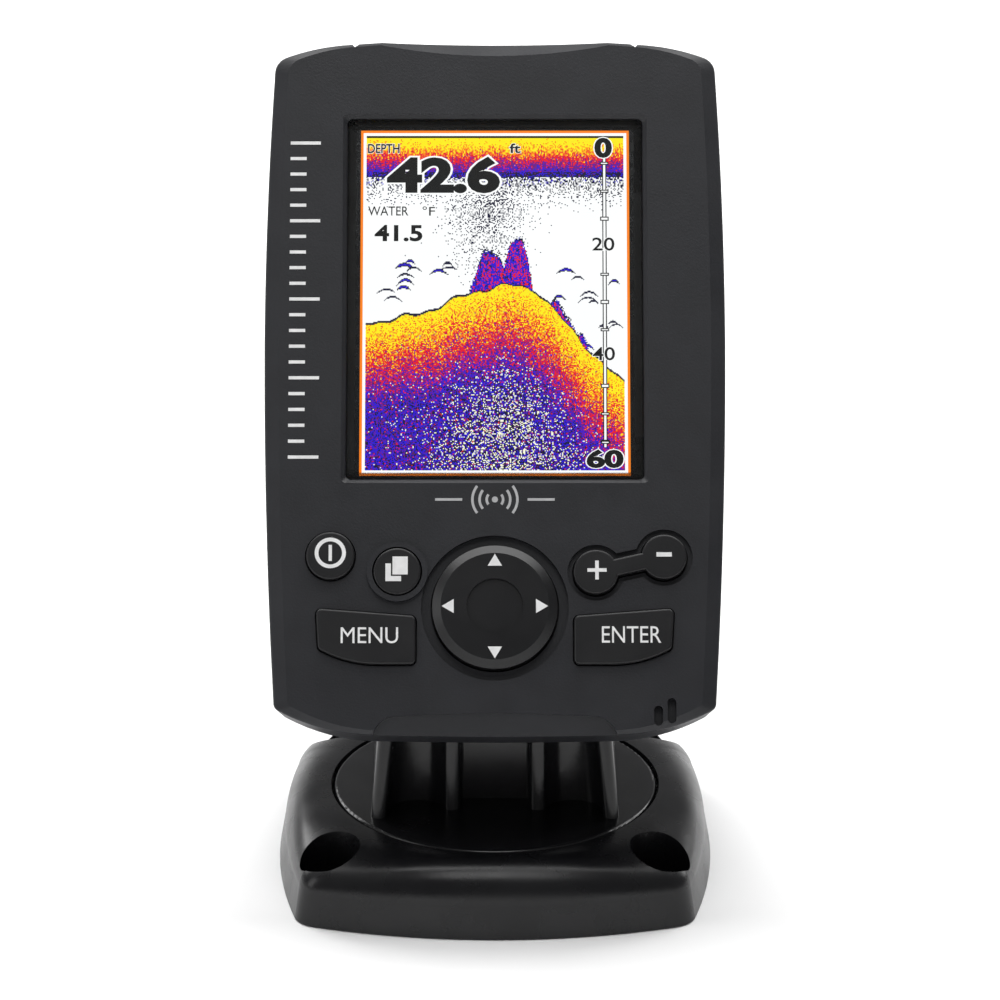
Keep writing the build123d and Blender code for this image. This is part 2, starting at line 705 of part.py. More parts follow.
def make_cable_socket():
    """Round panel socket: flange and threaded neck through the case wall, open mouth at the back."""
    body = peg(0, SOCKET_V, SOCKET_R, CASE_BACK + 0.6, SOCKET_MOUTH)
    body = fillet(front_edges(body, SOCKET_MOUTH), 0.5)
    body += peg(0, SOCKET_V, SOCKET_NECK_R - 0.1, SOCKET_BACK, CASE_BACK + 0.7)
    body -= peg(0, SOCKET_V, SOCKET_BORE_R, SOCKET_STEP, SOCKET_MOUTH + 1)
    body -= peg(0, SOCKET_V, SOCKET_INNER_R, SOCKET_FLOOR, SOCKET_STEP + 1)
    for u, v in pin_places():
        body -= peg(u, v, PIN_R, SOCKET_BACK - 1, SOCKET_FLOOR + 1)
    for i in range(2):
        a = pi * i + pi / 2
        body -= peg(SOCKET_R * cos(a), SOCKET_V + SOCKET_R * sin(a), 1.0, CASE_BACK + 3, SOCKET_MOUTH + 1)
    return body


def pin_places():
    """Contact pins: a ring of them, open at the keyed side."""
    step = 2 * pi / (PIN_COUNT + 1)
    return [
        (PIN_RING * sin(step * (i + 1)), SOCKET_V + PIN_RING * cos(step * (i + 1))) for i in range(PIN_COUNT)
    ]


def make_socket_pins():
    pins = []
    for u, v in pin_places():
        pin = peg(u, v, PIN_R, SOCKET_BACK - 2.5, PIN_TIP)
        pins.append(fillet(front_edges(pin, PIN_TIP), 0.3))
    return Compound(pins)


def make_socket_seal():
    return slab(Pos(0, SOCKET_V) * (Circle(SOCKET_R) - Circle(SOCKET_NECK_R)), CASE_BACK, CASE_BACK + 0.6)


def make_socket_nut():
    inner = CASE_BACK - CASE_WALL
    nut = slab(Pos(0, SOCKET_V) * (RegularPolygon(10.6, 6) - Circle(SOCKET_NECK_R - 0.1)), inner - 2.6, inner)
    return nut


def make_vent_plug():
    cap = peg(VENT[0], VENT[1], 4.4, CASE_BACK, CASE_BACK + 1.6)
    cap = fillet(front_edges(cap, CASE_BACK + 1.6), 0.6)
    return cap + peg(VENT[0], VENT[1], 2.9, CASE_BACK - CASE_WALL - 0.8, CASE_BACK + 0.1)


# ---- bracket ----
def foot_section(inset, roundness, z):
    """Level outline of the foot: 0 is a square with bulging sides, 1 is the circle that frames the disc."""
    front = [(x, -y) for x, y in FOOT_FRONT_CORNER]
    right = [(0, -FOOT_FRONT), *front, (FOOT_SIDE, 0), *FOOT_REAR_CORNER, (0, FOOT_FRONT)]
    left = [(-x, y) for x, y in reversed(right[1:-1])]
    points = []
    for x, y in right + left:
        reach = hypot(x, y)
        size = (1 - roundness) * (1 - inset / reach) + roundness * BASE_TOP_R / reach
        points.append((x * size, y * size, z))
    edges = []
    for i in range(1, len(points), 2):
        edges.append(ThreePointArc(points[i], points[(i + 1) % len(points)], points[(i + 2) % len(points)]))
    return make_face(edges)


def base_dome():
    """Wall with a little draft, and a convex dome that turns from the foot's outline into the disc's ring."""
    body = loft([foot_section(0, 0, 0), foot_section(FOOT_DRAFT, 0, BASE_WALL_H)], ruled=True)
    rings = []
    for i in range(DOME_STEPS + 1):
        turn = (pi / 2) * i / DOME_STEPS
        height = BASE_WALL_H + (BASE_TOP_Z - BASE_WALL_H) * sin(turn)
        rings.append(foot_section(FOOT_DRAFT, 1 - cos(turn), height))
    return body + loft(rings)


def base_screw_places():
    """Centres of the four fixing holes."""
    return [(x * SCREW_X, y * SCREW_Y) for x in (-1, 1) for y in (-1, 1)]


def make_bracket_base():
    solid = base_dome()
    hollow = extrude(foot_section(HOLLOW_INSET, 0, -1), amount=HOLLOW_Z + 1)
    for turn in range(0, 180, 45):
        hollow -= Rot(0, 0, turn) * Box(200, RIB_T, 2 * HOLLOW_Z)
    hollow += ring(HUB_R, 0.001, -1, HOLLOW_Z)
    for x, y in base_screw_places():
        hollow -= Pos(x, y, 0) * Cylinder(SCREW_BOSS_R, 30)
    base = solid - hollow
    base -= Pos(0, 0, DISC_SEAT_Z) * extrude(Circle(DISC_R + DISC_GAP), amount=20)
    base -= Cylinder(SPIGOT_R + RUNNING, 60)
    for x, y in base_screw_places():
        base -= Pos(x, y, 0) * Cylinder(SCREW_HOLE_R, 40)
        base -= Pos(x, y, SCREW_POCKET_Z) * extrude(Circle(SCREW_POCKET_R), amount=30)
        base -= Pos(x, y, SCREW_SEAT_Z) * extrude(Circle(SCREW_SEAT_R), amount=30)
    return base


def tower_section(z, leg_x, leg_y, rib_y, panel_y, hollow_y):
    """Level section of the tower: round-tipped legs, hollow side panels, two ribs and a centre panel."""
    leg_in = leg_x - LEG_T / 2
    leg_out = leg_x + LEG_T / 2
    tip = leg_y - LEG_T / 2
    rib_start = rib_y - RIB_ROUND
    corner = panel_y + PANEL_CORNER
    middle = (RIB_OUT_X + leg_in) / 2
    quarter = [
        Line((0, -panel_y), (RIB_IN_X - PANEL_CORNER, -panel_y)),
        RadiusArc((RIB_IN_X - PANEL_CORNER, -panel_y), (RIB_IN_X, -corner), PANEL_CORNER),
        Line((RIB_IN_X, -corner), (RIB_IN_X, -rib_start)),
        ThreePointArc((RIB_IN_X, -rib_start), ((RIB_IN_X + RIB_OUT_X) / 2, -rib_y), (RIB_OUT_X, -rib_start)),
        ThreePointArc((RIB_OUT_X, -rib_start), (middle, -hollow_y), (leg_in, -tip)),
        ThreePointArc((leg_in, -tip), (leg_x, -leg_y), (leg_out, -tip)),
        Line((leg_out, -tip), (leg_out, 0)),
    ]
    half = quarter + [edge.mirror(Plane.YZ) for edge in quarter]
    face = make_face(half + [edge.mirror(Plane.XZ) for edge in half])
    return Pos(0, 0, z) * face


def upper_leg(side):
    """Leg above the tower's body, closing on the round boss of the axle."""
    low = RectangleRounded(LEG_T, 2 * TOWER_BEND["leg_y"], LEG_EDGE_R)
    high = RectangleRounded(LEG_T, 2 * LEG_TOP_R - 0.8, LEG_EDGE_R)
    sections = [Pos(TOWER_BEND["leg_x"], 0, TOWER_TOP_Z) * low, Pos(LEG_X, AXLE_Y, AXLE_Z) * high]
    boss = Pos(LEG_X, AXLE_Y, AXLE_Z) * Rot(0, 90, 0) * Cylinder(LEG_TOP_R, LEG_T)
    boss = fillet(boss.edges().filter_by(GeomType.CIRCLE), LEG_EDGE_R - 0.1)
    plate = loft(sections, ruled=True) + boss
    return plate if side > 0 else plate.mirror(Plane.YZ)


def make_swivel_yoke():
    disc = Pos(0, 0, DISC_UNDER_Z) * extrude(Circle(DISC_R), amount=BASE_TOP_Z - DISC_UNDER_Z)
    disc = fillet(disc.edges().group_by(Axis.Z)[-1], 0.7)
    foot = tower_section(BASE_TOP_Z - 0.5, **TOWER_FOOT)
    tower = loft([foot, tower_section(TOWER_TOP_Z, **TOWER_BEND)], ruled=True)
    tower -= cross_slab(make_face(Polyline(*TOWER_TROUGH, close=True)), LEG_IN)
    yoke = disc + tower + upper_leg(-1) + upper_leg(1)
    yoke += Pos(0, 0, SPIGOT_Z) * extrude(Circle(SPIGOT_R), amount=DISC_UNDER_Z - SPIGOT_Z + 0.5)
    yoke -= Pos(0, AXLE_Y, AXLE_Z) * Rot(0, 90, 0) * Cylinder(AXLE_R, 80)
    yoke -= Cylinder(SWIVEL_SCREW_R, 28)
    return yoke


def make_wave_washer():
    return ring(13.4, 10.6, SPIGOT_Z + 0.05, HOLLOW_Z)


def make_swivel_washer():
    return ring(14.2, 2.6, SPIGOT_Z - 1.2, SPIGOT_Z)


def make_swivel_screw():
    under = SPIGOT_Z - 1.2
    head = Pos(0, 0, under - 1.8) * extrude(Circle(SWIVEL_HEAD_R), amount=1.8)
    head = chamfer(head.edges().group_by(Axis.Z)[0], 0.5)
    for turn in (0, 90):
        head -= Pos(0, 0, under - 1.8) * Rot(0, 0, turn) * Box(5.0, 1.0, 1.6)
    return head + Pos(0, 0, under - 0.1) * extrude(Circle(SWIVEL_SCREW_R), amount=11.6)


def axle_ring(outer, inner, start, end):
    """Washer on the tilt axle, between two distances from the centre plane."""
    flat = extrude(Circle(outer) - Circle(inner), amount=end - start)
    return Pos(start, AXLE_Y, AXLE_Z) * Rot(0, 90, 0) * flat


def make_tilt_axle():
    axle = Pos(0, AXLE_Y, AXLE_Z) * Rot(0, 90, 0) * Cylinder(AXLE_R, 2 * AXLE_HALF)
    axle = chamfer(axle.edges(), 0.4)
    for side in (-1, 1):
        groove = axle_ring(AXLE_R + 1, AXLE_R - 0.5, LEG_OUT + 0.1, LEG_OUT + 0.9)
        axle -= groove if side > 0 else groove.mirror(Plane.YZ)
    return axle


def make_axle_clips():
    ring_gap = Pos(LEG_OUT, AXLE_Y, AXLE_Z) * Box(4, 20, 3.2, align=(Align.CENTER, Align.MIN, Align.CENTER))
    clip = axle_ring(CLIP_R, AXLE_R - 0.5, LEG_OUT + 0.1, LEG_OUT + 0.9) - ring_gap
    return Compound([clip, clip.mirror(Plane.YZ)])


def make_tilt_washers():
    washer = axle_ring(WASHER_R, AXLE_R + 0.1, SHOE_HALF, LEG_IN - 0.05)
    return Compound([washer, washer.mirror(Plane.YZ)])


def make_mount_shoe():
    """Tee-shaped slider that the head drops onto, with its hub on the axle and two ears for the lever."""
    tee_v = (TEE_TOP + TEE_BOTTOM) / 2
    tee_h = TEE_TOP - TEE_BOTTOM
    tee = slab(Pos(0, tee_v) * Rectangle(2 * TEE_HALF, tee_h), TEE_FRONT, TEE_BACK)
    neck = slab(Pos(0, tee_v + 1.0) * Rectangle(2 * NECK_HALF, tee_h - 4.0), TEE_BACK - 0.1, AXLE_DEPTH)
    hub = Pos(0, AXLE_DEPTH, AXLE_V) * Rot(0, 90, 0) * Cylinder(SHOE_HUB_R, 2 * NECK_HALF)
    hub += Pos(0, AXLE_DEPTH, AXLE_V) * Rot(0, 90, 0) * Cylinder(SHOE_END_R, 2 * SHOE_HALF)
    shoe = tee + neck + hub
    eye = Pos(LEVER_DEPTH, LEVER_V) * Circle(3.2)
    root = Pos(AXLE_DEPTH, AXLE_V) * Circle(5.0)
    ear_face = make_hull(eye.edges() + root.edges())
    for side in (-1, 1):
        ear = extrude(Plane.YZ * ear_face, amount=EAR_OUT - EAR_IN)
        start = EAR_IN if side > 0 else -EAR_OUT
        shoe += Pos(start, 0, 0) * ear
    shoe -= Pos(0, AXLE_DEPTH, AXLE_V) * Rot(0, 90, 0) * Cylinder(AXLE_R + RUNNING, 60)
    shoe -= Pos(0, LEVER_DEPTH, LEVER_V) * Rot(0, 90, 0) * Cylinder(LEVER_PIN_R, 40)
    shoe -= lever_room()
    return shoe


def lever_room():
    """Space between the ears and under the neck that the lever swings in."""
    eye = Pos(LEVER_DEPTH, LEVER_V) * Circle(4.6)
    nose = Pos(NOSE_DEPTH + 0.6, NOSE_V) * Circle(3.4)
    return cross_slab(make_hull(eye.edges() + nose.edges()), LEVER_HALF + 0.25)


def make_release_lever():
    """Rocking latch: a nose under the tee, an eye on the pin and a thumb tab to the rear."""
    eye = Pos(LEVER_DEPTH, LEVER_V) * Circle(3.0)
    nose = Pos(NOSE_DEPTH + 0.9, NOSE_V) * Circle(0.9)
    thumb = Pos(THUMB_DEPTH, THUMB_V) * Circle(LEVER_T / 2)
    front = cross_slab(make_hull(eye.edges() + nose.edges()), LEVER_HALF)
    rear = cross_slab(make_hull(eye.edges() + thumb.edges()), LEVER_HALF)
    lever = front + rear
    for i in range(3):
        along = 0.62 + 0.14 * i
        depth = LEVER_DEPTH + (THUMB_DEPTH - LEVER_DEPTH) * along
        height = LEVER_V + (THUMB_V - LEVER_V) * along + 1.9 - 0.5 * i * 0.3
        lever += Pos(0, depth, height - 0.5) * Rot(0, 90, 0) * Cylinder(0.8, 2 * LEVER_HALF - 2)
    lever -= Pos(0, LEVER_DEPTH, LEVER_V) * Rot(0, 90, 0) * Cylinder(LEVER_PIN_R + RUNNING, 40)
    lever -= Pos(0, LEVER_DEPTH, LEVER_V) * Rot(0, 90, 0) * Cylinder(3.6, 5.2)
    return lever


def make_lever_pin():
    return Pos(0, LEVER_DEPTH, LEVER_V) * Rot(0, 90, 0) * Cylinder(LEVER_PIN_R, 2 * EAR_OUT)


def make_lever_spring():
    """Torsion spring on the lever pin, its coils drawn as touching rings."""
    wire = 0.45
    coils = []
    for i in range(5):
        x = (i - 2) * 2 * wire
        coils.append(Pos(x, LEVER_DEPTH, LEVER_V) * Rot(0, 90, 0) * Torus(2.6, wire * 1.02))
    return coils[0].fuse(*coils[1:])


# ---- every sub-part ----
HEAD_PARTS = {
    "front_bezel": make_front_bezel,
    "case_seal": make_case_seal,
    "window_lens": make_window_lens,
    "lens_gasket": make_lens_gasket,
    "lcd_panel": make_lcd_panel,
    "backlight": make_backlight,
    "lcd_frame": make_lcd_frame,
    "power_key": make_power_key,
    "pages_key": make_pages_key,
    "menu_key": make_menu_key,
    "enter_key": make_enter_key,
    "zoom_rocker": make_zoom_rocker,
    "direction_pad": make_direction_pad,
    "pad_pivot_ring": make_pad_pivot_ring,
    "keypad_membrane": make_keypad_membrane,
    "dome_switches": make_dome_switches,
    "main_board": make_main_board,
    "board_screws": make_board_screws,
    "shield_can": make_shield_can,
    "processor_chip": make_processor_chip,
    "sonar_transformer": make_sonar_transformer,
    "capacitors": make_capacitors,
    "buzzer": make_buzzer,
    "rear_case": make_rear_case,
    "case_screws": make_case_screws,
    "cable_socket": make_cable_socket,
    "socket_pins": make_socket_pins,
    "socket_seal": make_socket_seal,
    "socket_nut": make_socket_nut,
    "vent_plug": make_vent_plug,
    "mount_shoe": make_mount_shoe,
    "release_lever": make_release_lever,
    "lever_pin": make_lever_pin,
    "lever_spring": make_lever_spring,
}

BRACKET_PARTS = {
    "bracket_base": make_bracket_base,
    "swivel_yoke": make_swivel_yoke,
    "wave_washer": make_wave_washer,
    "swivel_washer": make_swivel_washer,
    "swivel_screw": make_swivel_screw,
    "tilt_axle": make_tilt_axle,
    "axle_clips": make_axle_clips,
    "tilt_washers": make_tilt_washers,
}


def main():
    os.makedirs("parts", exist_ok=True)
    for name, make in HEAD_PARTS.items():
        export_step(HEAD * make(), os.path.join("parts", name + ".step"))
    for name, make in BRACKET_PARTS.items():
        export_step(make(), os.path.join("parts", name + ".step"))


main()
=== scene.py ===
import json
import math

import bpy
import numpy as np
from mathutils import Matrix, Vector


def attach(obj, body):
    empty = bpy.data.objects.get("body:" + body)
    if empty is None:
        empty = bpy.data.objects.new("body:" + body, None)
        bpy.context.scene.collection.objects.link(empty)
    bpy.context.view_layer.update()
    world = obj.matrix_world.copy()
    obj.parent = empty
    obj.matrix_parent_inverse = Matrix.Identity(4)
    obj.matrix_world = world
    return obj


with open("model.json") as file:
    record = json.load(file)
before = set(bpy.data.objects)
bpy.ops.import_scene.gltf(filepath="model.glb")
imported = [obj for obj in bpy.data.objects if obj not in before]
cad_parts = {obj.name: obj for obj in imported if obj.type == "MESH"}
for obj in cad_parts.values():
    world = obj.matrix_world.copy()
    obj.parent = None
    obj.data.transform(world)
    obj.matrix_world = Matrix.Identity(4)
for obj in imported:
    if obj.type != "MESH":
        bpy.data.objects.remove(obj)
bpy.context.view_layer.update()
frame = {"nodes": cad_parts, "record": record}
nodes = frame["nodes"]
scene = bpy.context.scene

# The head's own frame: x across, y up the face, z out of the face, in metres.
MM = 0.001
LEAN = math.radians(34.0)
HEAD = Matrix(
    (
        (1, 0, 0, 0),
        (0, math.sin(LEAN), -math.cos(LEAN), 14.227 * MM),
        (0, math.cos(LEAN), math.sin(LEAN), 112.269 * MM),
        (0, 0, 0, 1),
    )
)
SEED = 7

# Depths behind the face, in mm.
KEY_TOP = -1.1
PAD_TOP = -1.9
LEGEND = 0.03
LENS_BACK = 2.3

# The display, in mm from its centre.
GLASS_HALF = (29.15, 36.6)
GLASS_MID = 0.45
VIEW_HALF = (26.67, 35.25)
BORDER = 0.5
MARGIN = 0.6
PIXELS = (240, 320)
SCREEN_LIGHT = 1.08


# ---- materials ----
class Surface:
    """A Principled material built up from procedural layers in the object's own coordinates."""

    def __init__(self, name, colour, roughness, metallic=0.0, specular=0.5):
        self.material = bpy.data.materials.new(name)
        self.material.use_nodes = True
        self.tree = self.material.node_tree
        self.shader = self.tree.nodes["Principled BSDF"]
        self.shader.inputs["Metallic"].default_value = metallic
        self.shader.inputs["Specular IOR Level"].default_value = specular
        self.place = self.tree.nodes.new("ShaderNodeTexCoord").outputs["Object"]
        self.colour = colour
        self.roughness = roughness
        self.height = None

    def link(self, source, target):
        self.tree.links.new(source, target)

    def noise(self, scale, detail=3.0, stretch=None):
        node = self.tree.nodes.new("ShaderNodeTexNoise")
        node.inputs["Scale"].default_value = scale
        node.inputs["Detail"].default_value = detail
        if stretch is None:
            self.link(self.place, node.inputs["Vector"])
        else:
            mapping = self.tree.nodes.new("ShaderNodeMapping")
            mapping.inputs["Scale"].default_value = stretch
            self.link(self.place, mapping.inputs["Vector"])
            self.link(mapping.outputs["Vector"], node.inputs["Vector"])
        return node.outputs["Fac"]

    def remap(self, value, low, high, to_low, to_high):
        node = self.tree.nodes.new("ShaderNodeMapRange")
        for name, number in (("From Min", low), ("From Max", high), ("To Min", to_low), ("To Max", to_high)):
            node.inputs[name].default_value = number
        self.link(value, node.inputs["Value"])
        return node.outputs["Result"]

    def mix(self, factor, first, second):
        node = self.tree.nodes.new("ShaderNodeMix")
        node.data_type = "RGBA"
        for socket, value in ((node.inputs["Factor"], factor), (node.inputs["A"], first), (node.inputs["B"], second)):
            if isinstance(value, bpy.types.NodeSocket):
                self.link(value, socket)
            else:
                socket.default_value = value
        return node.outputs["Result"]

    def mottle(self, amount, scale, scuff=0.0):
        """Uneven colour, and optional pale scuffs in patches."""
        dark = [c * (1 - amount) for c in self.colour] + [1]
        pale = [c * (1 + amount) for c in self.colour] + [1]
        patch = self.remap(self.noise(scale, 4.0), 0.35, 0.65, 0.0, 1.0)
        result = self.mix(patch, dark, pale)
        if scuff:
            worn = [min(1.0, c * 2.2 + 0.03) for c in self.colour] + [1]
            marks = self.noise(1.0, 5.0, (900, 160, 420))
            result = self.mix(self.remap(marks, 0.66, 0.78, 0.0, scuff), result, worn)
        self.link(result, self.shader.inputs["Base Color"])
        return self

    def polish(self, amount, scale):
        """Uneven roughness, as from handling."""
        smear = self.remap(self.noise(scale, 5.0), 0.3, 0.7, self.roughness - amount, self.roughness + amount)
        self.link(smear, self.shader.inputs["Roughness"])
        return self

    def grain(self, depth, scale, stretch=None):
        """Fine raised grain; depth in metres."""
        bump = self.tree.nodes.new("ShaderNodeBump")
        bump.inputs["Strength"].default_value = 1.0
        bump.inputs["Distance"].default_value = depth
        self.link(self.noise(scale, 2.0, stretch), bump.inputs["Height"])
        if self.height is not None:
            self.link(self.height, bump.inputs["Normal"])
        self.height = bump.outputs["Normal"]
        self.link(self.height, self.shader.inputs["Normal"])
        return self


def plastic(name, colour, roughness, grain=0.00002, scale=2400.0, scuff=0.0, mottle=0.10, specular=0.5):
    surface = Surface(name, colour, roughness, specular=specular)
    return surface.mottle(mottle, 140.0, scuff).polish(0.06, 90.0).grain(grain, scale).material


def metal(name, colour, roughness, stretch=(200, 4200, 4200)):
    surface = Surface(name, colour, roughness, metallic=1.0)
    return surface.mottle(0.08, 260.0).polish(0.08, 300.0).grain(0.000006, 1.0, stretch).material


def ink(name, colour, roughness=0.5):
    surface = Surface(name, colour, roughness)
    return surface.mottle(0.05, 700.0).polish(0.08, 400.0).grain(0.000004, 5200.0).material


def window_glass(name):
    """Clear gloss sheet: what isn't reflected passes straight through."""
    material = bpy.data.materials.new(name)
    material.use_nodes = True
    tree = material.node_tree
    tree.nodes.remove(tree.nodes["Principled BSDF"])
    gloss = tree.nodes.new("ShaderNodeBsdfGlossy")
    clear = tree.nodes.new("ShaderNodeBsdfTransparent")
    fresnel = tree.nodes.new("ShaderNodeFresnel")
    place = tree.nodes.new("ShaderNodeTexCoord")
    smear = tree.nodes.new("ShaderNodeTexNoise")
    rough = tree.nodes.new("ShaderNodeMapRange")
    mix = tree.nodes.new("ShaderNodeMixShader")
    fresnel.inputs["IOR"].default_value = 1.22
    smear.inputs["Scale"].default_value = 45.0
    rough.inputs["To Min"].default_value = 0.02
    rough.inputs["To Max"].default_value = 0.12
    clear.inputs["Color"].default_value = (0.97, 0.98, 0.98, 1)
    links = tree.links
    links.new(place.outputs["Object"], smear.inputs["Vector"])
    links.new(smear.outputs["Fac"], rough.inputs["Value"])
    links.new(rough.outputs["Result"], gloss.inputs["Roughness"])
    links.new(fresnel.outputs["Fac"], mix.inputs["Fac"])
    links.new(clear.outputs["BSDF"], mix.inputs[1])
    links.new(gloss.outputs["BSDF"], mix.inputs[2])
    links.new(mix.outputs["Shader"], tree.nodes["Material Output"].inputs["Surface"])
    return material


def lit_screen(name):
    """Back-lit display: each cell's colour is in the mesh's own attribute, with a slightly uneven light."""
    surface = Surface(name, (0.0, 0.0, 0.0), 0.25)
    cell = surface.tree.nodes.new("ShaderNodeAttribute")
    cell.attribute_name = "cell"
    shade = surface.tree.nodes.new("ShaderNodeVectorMath")
    shade.operation = "SCALE"
    surface.link(cell.outputs["Color"], shade.inputs[0])
    surface.link(surface.remap(surface.noise(40.0, 1.0), 0.3, 0.7, 0.96, 1.0), shade.inputs["Scale"])
    surface.shader.inputs["Base Color"].default_value = (0, 0, 0, 1)
    surface.link(shade.outputs["Vector"], surface.shader.inputs["Emission Color"])
    surface.shader.inputs["Emission Strength"].default_value = SCREEN_LIGHT
    return surface.material


LOOKS = {
    "bezel": plastic("charcoal_plastic", (0.012, 0.0125, 0.0155), 0.48, 0.00003, 2300.0, scuff=0.06, specular=0.42),
    "case": plastic("case_plastic", (0.020, 0.021, 0.024), 0.5, 0.00003, 2000.0, scuff=0.10),
    "lens": window_glass("window_glass"),
    "seal": plastic("black_rubber", (0.02, 0.02, 0.02), 0.75, 0.00003, 1500.0),
    "screen": plastic("panel_plastic", (0.25, 0.25, 0.24), 0.35),
    "white_plastic": plastic("white_plastic", (0.75, 0.75, 0.72), 0.5),
    "key": plastic("key_rubber", (0.006, 0.006, 0.007), 0.42, 0.00001, 2600.0, scuff=0.04, specular=0.4),
    "pad": plastic("pad_plastic", (0.006, 0.006, 0.007), 0.34, 0.000008, 2600.0, scuff=0.04, specular=0.42),
    "steel": metal("brushed_steel", (0.55, 0.55, 0.56), 0.32),
    "board": plastic("board_green", (0.01, 0.09, 0.04), 0.4, 0.00001, 900.0),
    "chip": plastic("moulded_black", (0.02, 0.02, 0.022), 0.6),
    "ferrite": plastic("ferrite", (0.08, 0.08, 0.085), 0.55, 0.00003, 1800.0),
    "aluminium": metal("aluminium", (0.78, 0.78, 0.79), 0.3),
    "brass": metal("brass", (0.72, 0.52, 0.22), 0.3),
    "bracket": plastic("bracket_plastic", (0.006, 0.006, 0.007), 0.27, 0.000012, 1300.0, scuff=0.04, specular=0.34),
    "yoke": plastic("yoke_plastic", (0.007, 0.007, 0.008), 0.22, 0.000005, 1200.0, scuff=0.04, specular=0.4),
    "nylon": plastic("nylon", (0.04, 0.04, 0.042), 0.5),
}
WHITE_INK = ink("white_ink", (0.78, 0.78, 0.78))
GREY_INK = ink("grey_ink", (0.42, 0.42, 0.43))
MASK_INK = ink("mask_ink", (0.004, 0.004, 0.005), 0.25)

for part in frame["record"]["subparts"]:
    mesh = nodes[part["node"]].data
    mesh.materials.clear()
    mesh.materials.append(LOOKS[part["material_slot"]])


# ---- pieces on the head ----
def piece(name, points, faces, body, material, slot, colours=None):
    """A mesh given in the head's frame (mm, depth behind the face last) that rides a body."""
    mesh = bpy.data.meshes.new(name)
    mesh.from_pydata([HEAD @ Vector((u * MM, v * MM, -w * MM)) for u, v, w in points], [], faces)
    mesh.materials.append(material)
    if colours is not None:
        layer = mesh.attributes.new("cell", "FLOAT_COLOR", "FACE")
        layer.data.foreach_set("color", colours.astype(np.float32).ravel())
    mesh.update()
    obj = bpy.data.objects.new(name, mesh)
    scene.collection.objects.link(obj)
    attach(obj, body)
    return obj


def plates(outlines, front, back):
    """Points and faces of thin closed plates, one for each outline, given anticlockwise."""
    points, faces = [], []
    for outline in outlines:
        n, start = len(outline), len(points)
        points += [(u, v, front) for u, v in outline] + [(u, v, back) for u, v in outline]
        faces.append(list(range(start, start + n)))
        faces.append([start + n + i for i in reversed(range(n))])
        for i in range(n):
            j = (i + 1) % n
            faces.append([start + j, start + i, start + n + i, start + n + j])
    return points, faces


def band(outer, inner, front, back, closed=True):
    """Points and faces of a closed strip between two rows of points."""
    n = len(outer)
    points = []
    for depth in (front, back):
        points += [(u, v, depth) for u, v in outer] + [(u, v, depth) for u, v in inner]
    faces = []
    for i in range(n if closed else n - 1):
        j = (i + 1) % n
        faces.append([i, j, n + j, n + i])
        faces.append([2 * n + j, 2 * n + i, 3 * n + i, 3 * n + j])
        faces.append([j, i, 2 * n + i, 2 * n + j])
        faces.append([n + i, n + j, 3 * n + j, 3 * n + i])
    if not closed:
        last = n - 1
        faces.append([0, n, 3 * n, 2 * n])
        faces.append([n + last, last, 2 * n + last, 3 * n + last])
    return points, faces


def joined(*shapes):
    """Several (points, faces) pairs as one."""
    points, faces = [], []
    for some_points, some_faces in shapes:
        start = len(points)
        points += some_points
        faces += [[start + i for i in face] for face in some_faces]
    return points, faces


def arc(u, v, radius, first, last, steps):
    """Points on a circle between two angles in degrees, anticlockwise."""
    angles = [math.radians(first + (last - first) * i / steps) for i in range(steps + 1)]
    return [(u + radius * math.cos(a), v + radius * math.sin(a)) for a in angles]


def box(u0, v0, u1, v1):
    return [(u0, v0), (u1, v0), (u1, v1), (u0, v1)]


def letters(text, bold=0.0):
    """Points and faces of flat text from the built-in font, lying in x and y, one unit thick."""
    curve = bpy.data.curves.new("letters", "FONT")
    curve.body = text
    curve.offset = bold
    curve.extrude = 0.5
    curve.resolution_u = 4
    obj = bpy.data.objects.new("letters", curve)
    scene.collection.objects.link(obj)
    bpy.context.view_layer.update()
    mesh = bpy.data.meshes.new_from_object(obj.evaluated_get(bpy.context.evaluated_depsgraph_get()))
    points = [tuple(vertex.co) for vertex in mesh.vertices]
    faces = [list(polygon.vertices) for polygon in mesh.polygons]
    bpy.data.objects.remove(obj)
    bpy.data.meshes.remove(mesh)
    return points, faces


def fitted(text, u0, v0, u1, v1, front, back, bold=0.0, halo=0.0):
    """Text stretched into a box on the face; a halo is the same text, fatter all round."""
    points, faces = letters(text, bold)
    low = np.min(points, axis=0)
    size = np.max(points, axis=0) - low
    if halo:
        points, faces = letters(text, bold + halo)
    scale = ((u1 - u0) / size[0], (v1 - v0) / size[1])
    return [
        (u0 + (x - low[0]) * scale[0], v0 + (y - low[1]) * scale[1], front if z > 0 else back) for x, y, z in points
    ], faces


def legend(name, shape, body, top=KEY_TOP, material=WHITE_INK, slot="key"):
    """Printed legend that stands a little proud of a key."""
    points, faces = shape
    placed = [(u, v, top - LEGEND if w < 0 else top + LEGEND) for u, v, w in points]
    return piece(name, placed, faces, body, material, slot)


# ---- key legends, in mm on the face ----
POWER = (-32.1, -51.4)
POWER_RING = (3.05, 2.3)
RING_STEPS = 47
RING_END = 352.5
outer, inner = (arc(*POWER, radius, 0, RING_END, RING_STEPS) for radius in POWER_RING)
power_bar = box(-32.42, -53.0, -31.78, -49.8)
legend("power_legend", joined(band(outer, inner, -1, 1), plates([power_bar], -1, 1)), "power")

front_page = box(-19.96, -55.69, -16.98, -52.11)
back_page = [(-21.33, -57.01), (-18.28, -57.01), (-18.28, -55.99), (-20.26, -55.99), (-20.26, -53.5), (-21.33, -53.5)]
legend("pages_legend", plates([front_page, back_page], -1, 1), "pages")

legend("menu_legend", fitted("MENU", -29.96, -69.32, -18.80, -66.17, -1, 1), "menu")
legend("enter_legend", fitted("ENTER", 20.80, -69.20, 32.33, -65.96, -1, 1), "enter")

